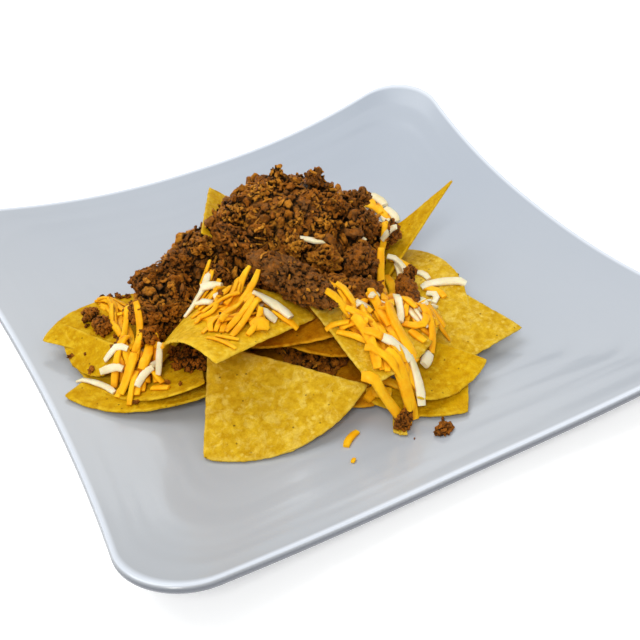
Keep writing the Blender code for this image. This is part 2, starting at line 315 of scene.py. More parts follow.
def warpedCells(tree, where, size, scale, warp, detail):
    # cells whose walls are bent by noise
    waves = noiseNode(tree, where, scale, detail)
    moved = vectors(tree, "ADD", where, vectors(tree, "SCALE", waves.outputs["Color"], warp))
    return addNode(tree, "ShaderNodeTexVoronoi", {"Vector": moved, "Scale": size})


def speckOf(tree, where, spacing, size, share):
    # 1 inside small round specks, one in some of the cells
    cells = warpedCells(tree, where, 1 / spacing, 1.1 / size, size * 1.3, 3.0)
    chosen = wire(tree, "ShaderNodeSeparateColor", {0: cells.outputs["Color"]})
    inside = rampOf(tree, cells.outputs["Distance"], size / spacing, 0.4 * size / spacing)
    return maths(tree, "MULTIPLY", inside, maths(tree, "LESS_THAN", chosen, share))


def makeCorn(name, look):
    material, tree, shader, where = startMaterial(name, 0.14, look["sheen"])
    mottle = patchOf(tree, where, 0.36, 0.64, 300, 6, 0.66)
    rim = maths(tree, "MULTIPLY", attributeOf(tree, "rim"), patchOf(tree, where, 0.35, 0.6, 260, 2))
    colour = layersOf(tree, blendOf(tree, mottle, look["dark"], look["light"]), look, [
        (patchOf(tree, where, 0.52, 0.8, 70, 3), 0.45, "toasted"),
        (patchOf(tree, where, 0.5, 0.62, 190, 5, 0.7, 0.5), 0.4, "fleck"),
        (patchOf(tree, where, 0.4, 0.62, 1500, 2), 0.22, "toasted"),
        (speckOf(tree, where, 3.4 * mm, 1.1 * mm, 0.4), 0.4, "fleck"),
        (speckOf(tree, where, 3.6 * mm, 0.6 * mm, 0.4), 0.8, "speck"),
        (rim, 0.55, "rim")])
    coarse = bumpOf(tree, noiseOf(tree, where, 240, 4, 0.55), 0.55, 0.9 * mm)
    pits = bumpOf(tree, speckOf(tree, where, 3.1 * mm, 0.9 * mm, 0.4), 0.4, -0.4 * mm, coarse)
    fine = bumpOf(tree, noiseOf(tree, where, 1100, 4, 0.6), 0.5, 0.25 * mm, pits)
    return endMaterial(material, colour, spanOf(tree, mottle, 0.62, 0.42), fine)


def makeCheese(name, look):
    material, tree, shader, where = startMaterial(name, 0.3, look["sheen"])
    shade = patchOf(tree, where, 0.35, 0.68, 120, 3)
    oily = patchOf(tree, where, 0.5, 0.75, 420, 3)
    # the 'gap' colour is painted shade where a shred is closed in by others
    colour = layersOf(tree, blendOf(tree, shade, look["deep"], look["light"]), look, [
        (oily, 0.35, "oily"), (rampOf(tree, attributeOf(tree, "creviceShade"), 0.3, 1.0), 1.0, "gap")])
    shader.inputs["Subsurface Weight"].default_value = look["glow"]
    shader.inputs["Subsurface Radius"].default_value = (1.0, 0.5, 0.15)
    shader.inputs["Subsurface Scale"].default_value = 1.2 * mm
    grain = bumpOf(tree, noiseOf(tree, where, 520, 4, 0.55), 0.5, 0.3 * mm)
    return endMaterial(material, colour, spanOf(tree, oily, 0.46, 0.28), grain)


def makeMeat(name, look):
    material, tree, shader, where = startMaterial(name, 0.4, look["sheen"])
    tone = attributeOf(tree, "tone")
    shade = patchOf(tree, where, 0.4, 0.58, 380, 6, 0.72, 0.4)
    mottled = patchOf(tree, where, 0.36, 0.6, 420, 4)
    colour = layersOf(tree, blendOf(tree, shade, look["dark"], look["brown"]), look, [
        (patchOf(tree, where, 0.45, 0.68, 110, 3), 0.7, "warm"),
        (maths(tree, "MULTIPLY", rampOf(tree, tone, 0.5, 0.85), mottled), 1.0, "golden"),
        (maths(tree, "MULTIPLY", rampOf(tree, tone, 0.4, 0.15), mottled), 0.75, "grey"),
        # painted shade: darkest where a point is closed in
        (rampOf(tree, attributeOf(tree, "creviceShade"), 0.14, 0.55), 1.0, "hollowShade")])
    moist = patchOf(tree, where, 0.45, 0.7, 300, 3)
    lumpy = bumpOf(tree, noiseOf(tree, where, 420, 6, 0.7, 0.6), 1.0, 2.4 * mm)
    fibres = bumpOf(tree, noiseOf(tree, where, 1300, 4, 0.6), 0.8, 0.6 * mm, lumpy)
    return endMaterial(material, colour, spanOf(tree, moist, 0.6, 0.24), fibres)


def makeChina(name, look):
    material, tree, shader, where = startMaterial(name, 0.5)
    along = addNode(tree, "ShaderNodeVectorMath", {0: where, 1: look["shadeWay"]}, operation="DOT_PRODUCT")
    shade = rampOf(tree, along.outputs["Value"], -120 * mm, 110 * mm)    # painted shade: darker and cooler towards one corner
    cloud = maths(tree, "MULTIPLY", maths(tree, "SUBTRACT", noiseOf(tree, where, 12, 3), 0.5), 0.25)
    shade = maths(tree, "ADD", shade, cloud, clamp=True)
    # painted shade: the 'under' colour darkens the plate's wall and underside
    colour = layersOf(tree, blendOf(tree, shade, look["shadedCool"], look["white"]), look, [
        # painted highlight: the 'lip' colour brightens the top of the lip
        (attributeOf(tree, "under"), 1.0, "under"), (attributeOf(tree, "lip"), 1.0, "lip")])
    shader.inputs["Coat Weight"].default_value = 0.3
    shader.inputs["Coat Roughness"].default_value = 0.08
    glaze = bumpOf(tree, noiseOf(tree, where, 60, 3), 0.12, 0.5 * mm)
    return endMaterial(material, colour, spanOf(tree, noiseOf(tree, where, 35, 3), 0.16, 0.3), glaze)


looks = {
    "cornBright": {"light": (0.64, 0.37, 0.004), "dark": (0.48, 0.235, 0.001), "toasted": (0.45, 0.19, 0.002),
                   "fleck": (0.80, 0.56, 0.03), "speck": (0.09, 0.035, 0.004), "rim": (0.86, 0.58, 0.04),
                   "sheen": (1, 0.7, 0.04)},
    "cornPale": {"light": (0.72, 0.45, 0.018), "dark": (0.50, 0.265, 0.003), "toasted": (0.46, 0.23, 0.004),
                 "fleck": (0.88, 0.68, 0.14), "speck": (0.09, 0.04, 0.006), "rim": (0.86, 0.62, 0.10),
                 "sheen": (1, 0.75, 0.2)},
    "cornOiled": {"light": (0.82, 0.49, 0.012), "dark": (0.58, 0.30, 0.002), "toasted": (0.54, 0.25, 0.003),
                  "fleck": (0.92, 0.68, 0.08), "speck": (0.09, 0.04, 0.006), "rim": (0.90, 0.62, 0.06),
                  "sheen": (1, 0.72, 0.08)},
    # cornShaded: the corn look made darker and redder as painted shade, for the chips inside the hollow
    "cornShaded": {"light": (0.56, 0.22, 0.003), "dark": (0.36, 0.115, 0.001), "toasted": (0.28, 0.08, 0.001),
                 "fleck": (0.66, 0.31, 0.01), "speck": (0.08, 0.03, 0.003), "rim": (0.90, 0.46, 0.02),
                 "sheen": (1, 0.7, 0.1)},
    # the cheeses' 'gap' colours are painted shade between the shreds
    "cheddar": {"light": (0.98, 0.53, 0.010), "deep": (0.88, 0.36, 0.002), "oily": (1.0, 0.62, 0.03),
                "glow": 0.12, "gap": (0.50, 0.13, 0.001), "sheen": (1, 0.75, 0.35)},
    "whiteCheese": {"light": (0.88, 0.80, 0.56), "deep": (0.78, 0.66, 0.38), "oily": (0.93, 0.87, 0.64),
                    "glow": 0.2, "gap": (0.62, 0.36, 0.09), "sheen": (1, 0.95, 0.8)},
    "meat": {"dark": (0.06, 0.015, 0.001), "brown": (0.48, 0.142, 0.011), "warm": (0.56, 0.17, 0.008),
             "golden": (0.92, 0.37, 0.03), "grey": (0.24, 0.10, 0.026), "hollowShade": (0.010, 0.003, 0.001),
             "sheen": (1, 0.65, 0.3)},
    # china 'under' is painted shade for the wall and underside
    "china": {"shadedCool": (0.345, 0.382, 0.440), "white": (0.465, 0.482, 0.505), "under": (0.13, 0.14, 0.165),
              # 'lip' is a painted highlight along the top of the lip
              "lip": (0.74, 0.78, 0.85), "shadeWay": (-0.75, -0.66, 0.0)},
}
cornBright, cornPale, cornOiled, cornShaded = (
    makeCorn(name, looks[name]) for name in ("cornBright", "cornPale", "cornOiled", "cornShaded"))
cheddar, whiteCheese = (makeCheese(name, looks[name]) for name in ("cheddar", "whiteCheese"))
brownedMeat = makeMeat("brownedMeat", looks["meat"])
china = makeChina("china", looks["china"])
print("materials ready")


# plate

plate = {"half": 150 * mm, "bow": 10.6 * mm, "corner": 28 * mm, "rimSide": 16.3 * mm, "rimCorner": 29.7 * mm,
         "rimPower": 1.27, "floor": 6 * mm, "flat": 0.35, "foot": 0.47, "wall": 5.4 * mm, "lip": 0.014,
         "turns": 288, "rings": 84, "ripple": 0.2 * mm, "ripples": 17, "shine": 0.8}


def plateRadius(angle):
    folded = abs((angle + math.pi / 4) % (math.pi / 2) - math.pi / 4)
    sideRadius = (plate["half"] ** 2 + plate["bow"] ** 2) / (2 * plate["bow"])
    sideCentre = plate["half"] - plate["bow"] + sideRadius
    reach = sideRadius + plate["corner"]
    q = (sideCentre - math.sqrt(2 * reach**2 - sideCentre**2)) / 2
    touch = math.atan2(q * sideRadius, sideCentre * reach + (q - sideCentre) * sideRadius)
    cos, sin = math.cos(folded), math.sin(folded)
    if folded <= touch:
        return sideCentre * cos - math.sqrt(sideRadius**2 - (sideCentre * sin) ** 2)
    return q * (cos + sin) + math.sqrt(plate["corner"] ** 2 - q**2 * (cos - sin) ** 2)


nearEdge, farEdge = plateRadius(0), plateRadius(math.pi / 4)


def plateTop(x, y):
    edge = plateRadius(math.atan2(y, x))
    share = min(math.hypot(x, y) / edge, 1)
    climb = max(edge - nearEdge, 0) / (farEdge - nearEdge)
    rim = plate["rimSide"] + (plate["rimCorner"] - plate["rimSide"]) * climb ** plate["rimPower"]
    rise = max((share - plate["flat"]) / (1 - plate["flat"]), 0)
    return plate["floor"] + (rim - plate["floor"]) * rise**2


def rippleAt(share, angle):
    # faint uneven rings that follow the rim
    along = Vector((math.cos(angle) * 1.6, math.sin(angle) * 1.6, share * plate["ripples"]))
    fade = min(max((share - 0.25) / 0.25, 0), 1) * min(max((0.985 - share) / 0.05, 0), 1)
    return plate["ripple"] * fade * (noise.noise(along) + 0.5 * noise.noise(along * 2.3))


def makePlate():
    # rings of points: out over the top, round the lip and back below to the foot
    lip, turns = plate["lip"], plate["turns"]
    profile = [(k / plate["rings"] * (1 - lip), 1) for k in range(1, plate["rings"] + 1)]
    profile += [(1 - lip * (1 - math.cos(math.radians(d))), math.sin(math.radians(d)))
                for d in range(75, -91, -15)]
    profile += [(0.975 - 0.02 * k, -1) for k in range(1, 24)]
    profile += [(plate["foot"] + 0.02, -1), (plate["foot"], -2)]
    points, faces = [Vector((0, 0, plate["floor"])), Vector((0, 0, 0))], []
    under, shine = [0, 1], [0, 0]
    for share, side in profile:
        # 'under' marks where the wall and underside get painted shade
        under += [min(max((0.75 - side) / 0.4, 0), 1)] * turns
        # 'lip' (from shine) marks the painted highlight on the top of the lip
        shine += [plate["shine"] if side > 0.8 and share > 0.985 else 0] * turns
        for k in range(turns):
            spun = 2 * math.pi * k / turns
            angle = spun + 0.15 * math.sin(4 * spun)    # points gather at the corners
            radius = share * plateRadius(angle)
            x, y = radius * math.cos(angle), radius * math.sin(angle)
            z = 0 if side < -1.5 else plateTop(x, y) - plate["wall"] * (1 - side) / 2
            if side == 1:
                z += rippleAt(share, angle)
            points.append(Vector((x, y, z)))
    for k in range(turns):
        following = (k + 1) % turns
        faces.append((0, 2 + k, 2 + following))
        last = 2 + (len(profile) - 1) * turns
        faces.append((1, last + following, last + k))
        for ring in range(len(profile) - 1):
            a, b = 2 + ring * turns, 2 + (ring + 1) * turns
            faces.append((a + k, b + k, b + following, a + following))
    piece = meshObject("squarePlate", points, faces, china)
    setValues(piece, "under", under)
    setValues(piece, "lip", shine)
    pointOutwards(piece)
    finishPiece(piece, "china", "plate")
    return piece


plateMesh = makePlate()
print("plate ready")


# tortilla chips: where each one's middle lies, its turn, its straight edges' length, the angle between
# them, how lopsided it is, and how it bends

chipShape = {"thick": 1.5 * mm, "cells": 72, "middle": 0.6, "ragged": 0.55 * mm, "worn": 0.5 * mm,
             "wave": 0.4 * mm, "relief": 0.16 * mm, "blister": 0.6 * mm, "tip": 1.6 * mm,
             "small": 45 * mm, "beyond": 1.35 * mm,
             "rimThick": (0.42, 0.8, 0.96, 1), "rimPale": (1, 0.7, 0.25, 0)}    # by rings from the edge
chips = {
    "chip_front": ((-58.9, -61.9, 18.9), (14, 18, -81), 67, 71, 0.14, 113, 3, (3, -0.9), cornPale),
    "chip_arch": ((-57.9, -29.2, 47.5), (8, 8, 63), 66, 82, 0, 73, -4, (-8.9, -32.4), cornOiled),
    "chip_slope": ((0.3, -60.2, 36.5), (-4, 14, -56), 66, 60, 0.05, 90, 0, (-5, -5), cornPale),
    "chip_right_middle": ((18.6, -76.6, 18.5), (11, 11, -79), 54, 47, 0.01, 99, 6, (23.3, 1.4), cornBright),
    "chip_right_upper": ((48.3, -63, 18.4), (-8, -6, 150), 46, 77, 0, 103, 0, (-3.5, -2.8), cornPale),
    "chip_right_back": ((36.9, -28.9, 19.1), (2, -8, -9), 69, 85, 0, 90, 0, (-6.7, -9.8), cornPale),
    "chip_back": ((-16.8, 44.4, 38.5), (-27, 15, -83), 48, 80, 0, 90, 0, (0, 0), cornBright),
    "chip_left_inner": ((-110.7, 2.2, 21.6), (-29, 20, 141), 34, 58, -0.45, 107, 3.5, (-3.9, 5.2),
                        cornBright),
    "chip_left_upper": ((-85.2, 19.1, 20.4), (10, 4, 85), 63, 91, 0, 126, 0, (5, -13.1), cornBright),
    "chip_left_middle": ((-91.5, -1.2, 14.3), (0, 1, -150), 63, 92, 0.07, 78, -2, (2.6, 10.5), cornBright),
    "chip_left_lower": ((-82.6, -12.8, 13.7), (6, -7, -107), 72, 86, 0.01, 62, -1, (9.2, -4.1), cornBright),
    "chip_right_lower": ((18.9, -86.5, 13.1), (0, 5, -149), 53, 51, -0.14, 90, 0, (2.6, 0.9), cornBright),
    "chip_upright": ((52.4, 0, 29.3), (8, 31, 187), 66, 26, 0.03, 100, 0, (32.3, 20.3), cornBright),
    "chip_inside_upper": ((-28.8, -18.9, 31.8), (6, 5, -128), 66, 87, 0, 90, 0, (-0.6, -2.7), cornShaded),
    "chip_inside_lower": ((-6.8, -39.3, 25.1), (-4, 1, -125), 52, 52, 0, 90, 0, (-0.8, 0), cornShaded),
    "chip_under_front": ((-23.1, -35.5, 9.8), (1, -1, -152), 66, 85, 0.05, 90, 0, (0, 0), cornShaded),
    "chip_shard": ((-4.3, -88.6, 9.9), (4, -4, -115), 40, 9, 0.04, 90, 0, (0, 0), cornPale),
}


def chipPoint(across, along, side, spread, lean):
    x = across * math.sqrt(1 - along**2 / 2)
    y = along * math.sqrt(1 - across**2 / 2)
    swing = math.atan2(y, x) / (math.pi / 4) - 1
    radius = side * math.hypot(x, y) * (1 + lean * swing)
    angle = swing * spread / 2
    return Vector((radius * math.cos(angle) - chipShape["middle"] * side, radius * math.sin(angle)))


def bendSheet(x, y, direction, fold, curls):
    cos, sin = math.cos(direction), math.sin(direction)
    reach = x * cos + y * sin - fold
    across = y * cos - x * sin
    curl = curls[1] if reach > 0 else curls[0]
    if abs(curl) < 1e-6:
        run, lift = reach, 0
    else:
        run, lift = math.sin(curl * reach) / curl, (1 - math.cos(curl * reach)) / curl
    run += fold
    return Vector((run * cos - across * sin, run * sin + across * cos, lift))


def chipSheet(name, row):
    # the open middle surface, ragged at its edges
    at, turn, side, spread, lean, towards, fold, curls, _ = row
    side, spread = side * mm, math.radians(spread)
    seed = sum(ord(letter) for letter in name)
    shift = Vector((seed * 0.37, seed * 0.11, seed * 0.73))
    cells = chipShape["cells"] if side > chipShape["small"] else chipShape["cells"] * 2 // 3
    corners = [chipPoint(u, v, side, spread, lean) for u, v in ((0.001, 0.001), (1, 0), (0, 1))]
    turning = Euler([math.radians(a) for a in turn]).to_matrix()
    shape = bmesh.new()
    bmesh.ops.create_grid(shape, x_segments=cells, y_segments=cells, size=0.5)
    for vert in shape.verts:
        share = 2 * max(abs(vert.co.x), abs(vert.co.y))
        flat = chipPoint(*(max(c + 0.5, 1e-4) for c in vert.co.xy), side, spread, lean)
        spot = Vector((flat.x, flat.y, 0)) / mm
        ragged = 0.35 + 0.65 * noise.noise(spot / 3.1 + shift) + 0.35 * noise.noise(spot / 1.2 + shift)
        inwards = chipShape["ragged"] * max(ragged, 0) * share**12
        for corner in corners:
            away = (flat - corner).length / chipShape["tip"]
            inwards += chipShape["worn"] * math.exp(-(away**2)) * share**6
        flat -= flat.normalized() * inwards
        place = bendSheet(flat.x, flat.y, math.radians(towards), fold * mm, curls)
        place.z += chipShape["wave"] * noise.noise(spot / 17 + shift)
        place.z += chipShape["blister"] * max(noise.noise(spot / 6 - shift) - 0.25, 0)
        vert.co = turning @ place + Vector(at) * mm
    return shape, shift


def cutAsSolid(shape, name):
    # drop the faces that lie beyond the solid, keep the largest island, then smooth the cut
    solid = treeOf([cad[name]])
    outside = [f for f in shape.faces if solid.find_nearest(f.calc_center_median())[3] > chipShape["beyond"]]
    if not outside:
        return
    bmesh.ops.delete(shape, geom=outside, context="FACES")
    left, islands = set(shape.faces), []
    while left:
        island, edge = [], [left.pop()]
        while edge:
            face = edge.pop()
            island.append(face)
            for link in (f for e in face.edges for f in e.link_faces if f in left):
                left.discard(link)
                edge.append(link)
        islands.append(island)
    islands.sort(key=len)
    bmesh.ops.delete(shape, geom=[f for island in islands[:-1] for f in island], context="FACES")
    axes = {"use_axis_x": True, "use_axis_y": True, "use_axis_z": True}
    for _ in range(3):
        rim = [v for v in shape.verts if v.is_boundary]
        bmesh.ops.smooth_vert(shape, verts=rim, factor=0.5, **axes)


def ringsFromRim(shape):
    # how many cells each point lies from the chip's edge, up to 3
    depth = {v: 0 for v in shape.verts if v.is_boundary}
    edge = list(depth)
    for level in (1, 2, 3):
        edge = [e.other_vert(v) for v in edge for e in v.link_edges if e.other_vert(v) not in depth]
        depth.update({v: level for v in edge})
    return [depth.get(v, 3) for v in shape.verts]


def makeChip(name, row):
    # the sheet made thick, thinner and paler towards its rim
    shape, shift = chipSheet(name, row)
    cutAsSolid(shape, name)
    shape.verts.index_update()
    shape.normal_update()
    rings = ringsFromRim(shape)
    count = len(shape.verts)
    points = []
    for direction in (1, -1):
        for vert, ring in zip(shape.verts, rings):
            spot = vert.co / mm
            relief = noise.noise(spot / 2.2 + shift * direction)
            relief += 0.5 * noise.noise(spot / 0.9 - shift * direction)
            half = chipShape["thick"] / 2 * chipShape["rimThick"][ring]
            points.append(vert.co + vert.normal * direction * (half + chipShape["relief"] * relief))
    faces = [[v.index for v in f.verts] for f in shape.faces]
    faces += [[v.index + count for v in reversed(f.verts)] for f in shape.faces]
    for edge in (e for e in shape.edges if e.is_boundary):
        a, b = (loop.vert.index for loop in (edge.link_loops[0], edge.link_loops[0].link_loop_next))
        faces.append((b, a, a + count, b + count))
    shape.free()
    piece = meshObject(name.replace("chip_", "tortilla_"), points, faces, row[-1])
    setValues(piece, "rim", [chipShape["rimPale"][ring] for ring in rings] * 2)
    pointOutwards(piece)
    finishPiece(piece, "corn", name)
    return piece


chipPieces = {name: makeChip(name, row) for name, row in chips.items()}
print("tortilla chips ready")


# browned meat: a core, and crumbs and clumps over it

meat = {"peaks": (57 * mm, 67.5 * mm), "press": 0.5, "shrink": 0.945, "voxel": 0.9 * mm,
        "clear": 0.3 * mm, "looseClear": 0.2 * mm,
        "lump": 4.4 * mm, "lumpDepth": 2.3 * mm, "clumpLump": 3.2 * mm, "clumpDepth": 1.2 * mm,
        "grain": 1.9 * mm, "grainDepth": 1.1 * mm, "clumps": 120, "clumpSizes": (2.6 * mm, 5.6 * mm),
        "bareFrom": 9, "clumpReach": 1.7, "overhang": -0.25, "variants": 20, "strands": 80, "knobs": 9,
        "large": {"spacing": 4.4 * mm, "smallest": 1.1 * mm, "largest": 3.6 * mm, "seed": 3},
        "small": {"spacing": 2.85 * mm, "smallest": 0.5 * mm, "largest": 1.5 * mm, "seed": 11}}
# clumps on the mound: middle, half sizes, turn, dip, tone (grey below 0.4, golden above 0.5)
bigClumps = [
    ((-22, -28, 51.5), (28, 9.5, 7.5), -70, 2, 0.12), ((7, -38, 37), (12, 9, 7.5), 10, 8, 0.3),
    ((17, -20, 40), (12, 9, 9), 60, 15, 0.3), ((-69, 22, 38), (14, 8, 6.5), -20, 5, 0.4),
    ((-77, 8, 32), (16, 8, 6.5), -14, 5, 0.6), ((-56, 26, 41), (9, 7, 6), 30, 10, 0.3),
    ((-31, 14, 51), (15, 6, 5), -75, 8, 0.35), ((-10, -8, 53), (6, 5, 4.5), 20, 15, 0.9),
    ((-3, 5, 58), (6, 4.5, 4), 70, 0, 0.85), ((10, 1, 54), (5, 4, 4), 10, 20, 0.8),
    ((19, 26, 61.5), (5.5, 4.5, 4.5), 50, 10, 0.25), ((4, 37, 65), (2.8, 2.8, 3.4), 0, 0, 0.75),
    ((4, 35, 60), (6, 5, 4), 20, 0, 0.7), ((35, 12, 51), (4.5, 4, 6), 0, 60, 0.15),
    ((44, -2, 37), (7, 5, 6), 80, 20, 0.3), ((-37, 43, 41), (5, 4, 4), 0, 40, 0.5),
    ((-8, 31, 60.5), (8, 5, 4), 35, 5, 0.85), ((-24, 29, 55), (8, 5, 5), 60, 10, 0.75),
    ((20, 8, 54), (8, 6, 5), -30, 15, 0.5), ((32, 1, 45), (8, 6, 6), -60, 30, 0.3),
    ((1, -16, 46), (9, 6, 6), -20, 20, 0.7), ((-47, 5, 40), (8, 6, 6), 50, 10, 0.25),
    ((-79, 2, 25), (6, 4, 5), 40, 0, 0.5), ((-3, -31, 41), (9, 6, 6), -40, 10, 0.6),
    ((-45, 24, 47), (7, 5, 4), -50, 10, 0.65)]
# crumbs lying apart: the node each stands for, middle (with no height, on the chips), half sizes, turn
lumps = [
    ("meat_right", (33, -37, 27), (13, 5, 5), 72), ("meat_right", (40, -27, 28), (5, 3, 4), 30),
    ("meat_front", (-7, -99, 14), (5, 3.8, 4.5), 40),
    ("meat_on_plate", (6, -111, 12.2), (5.2, 3.2, 2.8), 10),
    ("meat_left_1", (-103, 31), (4.6, 3.6, 3.2), 30), ("meat_left_2", (-101, 20), (6, 4.4, 3.8), 75),
    ("meat_left_3", (-99, -1, 27), (5, 3.6, 3.6), 20), ("meat_left_4", (-85, -2, 28), (6.5, 5, 4.4), 60),
    (None, (-77, -9, 19), (4, 3, 3), 20), (None, (-74, -17, 21), (3.6, 3, 3), 80),
    (None, (-69, -19, 22), (4, 3, 3), 0), (None, (-75, -25, 22), (3.4, 2.6, 2.6), 50),
    (None, (-79, -19, 20), (3.4, 3, 2.6), 10), (None, (-70, -28, 23), (3.6, 3, 3), 60),
    (None, (-68, -11, 20), (4, 3.4, 3.4), 30)]
# small ones on the chips and the plate: middle and size
bits = [
    ((-120, 14), 1.5), ((-115, -1), 1.9), ((-104, -28), 1.8), ((-88, -28), 1.6), ((-93, 43), 1.5),
    ((-89, 44), 1.7), ((-85, 43), 2), ((-81, 41), 1.5), ((-114, 9), 0.8), ((10, -104), 0.9),
    ((-7, -108), 0.5), ((-84, -35), 1.2), ((-107, 26), 1.3), ((-96, 27), 1.2), ((-98, 12), 1.4),
    ((-92, -2), 1.1), ((-54, -20), 1.3), ((-60, -33), 0.9)]


def mergedShape(node):
    shape = bmesh.new()
    shape.from_mesh(cad[node].data)
    bmesh.ops.remove_doubles(shape, verts=shape.verts, dist=0.01 * mm)
    return shape


def keepLow(piece, peak):
    # press what rises above the peak down a little, so that the heap stays as tall as its solid
    for vert in piece.data.vertices:
        vert.co.z = min(vert.co.z, peak + (vert.co.z - peak) * meat["press"])


def reliefTree():
    tree, given = newTree("meatRelief", [("Lump", "Float"), ("Lump Depth", "Float"), ("Grain", "Float"),
                                         ("Grain Depth", "Float"), ("Material", "Material")])
    where = tree.nodes.new("GeometryNodeInputPosition").outputs[0]
    lift = 0.0
    for size in ("Lump", "Grain"):
        scale = maths(tree, "DIVIDE", 1.0, given[size])
        cells = warpedCells(tree, where, scale, scale, given[size], 2.0)
        bulge = maths(tree, "SUBTRACT", 0.45, cells.outputs["Distance"])
        lift = maths(tree, "ADD", maths(tree, "MULTIPLY", bulge, given[size + " Depth"]), lift)
    offset = vectors(tree, "SCALE", tree.nodes.new("GeometryNodeInputNormal").outputs[0], lift)
    moved = wire(tree, "GeometryNodeSetPosition", {"Geometry": given["Geometry"], "Offset": offset})
    endTree(tree, moved, given["Material"])
    return tree


def crumbShape(shape, middle, half, turn, seed, cuts, grain):
    # a rough lump added to a mesh that is being built; its creases are one grain apart
    made = bmesh.ops.create_icosphere(shape, subdivisions=cuts, radius=1)["verts"]
    shift = Vector((seed * 31.3, seed * 17.9, seed * 23.1))
    for vert in made:
        spot = Vector([c * h for c, h in zip(vert.co, half)])
        place = spot / grain + shift
        near = noise.voronoi(place)[0]
        lift = 1.1 * min(near[1] - near[0], 0.4) - 0.3 + 0.5 * noise.noise(place * 0.7 - shift)
        if cuts > 2:
            lift += 0.3 * noise.noise(place * 2.3) + 0.16 * noise.noise(place * 5)
        vert.co = turn @ (spot + spot.normalized() * max(lift * grain, -0.7 * spot.length)) + middle
    return made


def anyTurn(dice, most=2 * math.pi):
    return Euler([dice.uniform(0, most) for _ in range(3)]).to_matrix()


def clumpTurn(turn, dip):
    return Euler((0, math.radians(dip), math.radians(turn))).to_matrix()


def growMeat(name, host, lump, depth):
    return growPiece(name, host, relief, {"Lump": lump, "Lump Depth": depth, "Grain": meat["grain"],
                                          "Grain Depth": meat["grainDepth"], "Material": brownedMeat})


def stayOver(verts, gap):
    # nothing sinks into the plate
    for vert in verts:
        vert.co.z = max(vert.co.z, plateTop(vert.co.x, vert.co.y) + gap)


def makeCore():
    # the mound drawn in a little, with clumps at random, made one skin
    low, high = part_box("meat_mound")
    middle = (low + high) / 2
    dice = random.Random(14)
    shape = mergedShape("meat_mound")
    for vert in shape.verts:
        ground = plateTop(vert.co.x, vert.co.y)
        vert.co.x = middle.x + (vert.co.x - middle.x) * meat["shrink"]
        vert.co.y = middle.y + (vert.co.y - middle.y) * meat["shrink"]
        vert.co.z = ground + (vert.co.z - ground) * meat["shrink"] + meat["clear"]
    shape.normal_update()
    faces = [f for f in shape.faces if f.normal.z > -0.1]
    chosen = dice.choices(faces, weights=[f.calc_area() for f in faces], k=meat["clumps"])
    places = []
    for face in chosen:
        first, second = sorted((dice.random(), dice.random()))
        corners = [v.co for v in face.verts[:3]]
        spot = corners[0] * first + corners[1] * (second - first) + corners[2] * (1 - second)
        places.append((spot, face.normal.copy()))
    for spot, normal in places:
        size = dice.uniform(*meat["clumpSizes"])
        half = [size * dice.uniform(*span) for span in ((1, 1.6), (0.8, 1.1), (0.6, 0.9))]
        turning = anyTurn(dice, 6.28)
        at = spot + normal * size * dice.uniform(-0.3, 0.2)
        crumbShape(shape, at, half, turning, dice.random(), 4, 3.5 * mm)
    core = shapeObject("meatHost", shape)
    remesh = core.modifiers.new("voxels", "REMESH")
    remesh.mode, remesh.voxel_size = "VOXEL", meat["voxel"]
    graph = bpy.context.evaluated_depsgraph_get()
    mesh = bpy.data.meshes.new_from_object(core.evaluated_get(graph))
    core.modifiers.clear()
    core.data = mesh
    piece = growMeat("meatCore", core, meat["lump"], meat["lumpDepth"])
    stayOver(piece.data.vertices, meat["clear"])
    keepLow(piece, meat["peaks"][0])
    setValues(piece, "tone", [0.47 + 0.6 * noise.noise(v.co / (8 * mm)) for v in piece.data.vertices])
    finishPiece(piece, "meat", "meat_mound")
    return piece


def makeClumps():
    # the clumps named above, each a lump of its own on the mound
    dice = random.Random(33)
    shape = bmesh.new()
    tones = []
    for place, half, turn, dip, tone in bigClumps:
        turning, cuts = clumpTurn(turn, dip), 6 if half[0] > 13 else 5
        half = [h * mm for h in half]
        made = crumbShape(shape, Vector(place) * mm, half, turning, dice.random(), cuts, 3.8 * mm)
        tones += [tone] * len(made)
    piece = growMeat("meatClumps", shapeObject("clumpHost", shape), meat["clumpLump"], meat["clumpDepth"])
    pointOutwards(piece)
    keepLow(piece, meat["peaks"][1])
    setValues(piece, "tone", [tone + 0.2 * noise.noise(v.co / (4 * mm))
                              for tone, v in zip(tones, piece.data.vertices)])
    finishPiece(piece, "meat")
    return piece


def makeVariants():
    group = bpy.data.collections.new("crumbVariants")
    scene.collection.children.link(group)
    dice = random.Random(5)
    for k in range(meat["variants"]):
        shape = bmesh.new()
        half = [dice.uniform(*span) for span in ((0.8, 1.9), (0.6, 1.1), (0.4, 0.9))]
        crumbShape(shape, Vector(), half, Matrix.Identity(3), dice.random(), 2, 1.1)
        bmesh.ops.recalc_face_normals(shape, faces=shape.faces)
        crumb = shapeObject(f"crumb{k}", shape)
        scene.collection.objects.unlink(crumb)
        group.objects.link(crumb)
    return group


def diceOf(tree, seed):
    limits = {2: 0.0, 3: 1.0, "Seed": seed}
    return addNode(tree, "FunctionNodeRandomValue", limits, data_type="FLOAT").outputs[1]


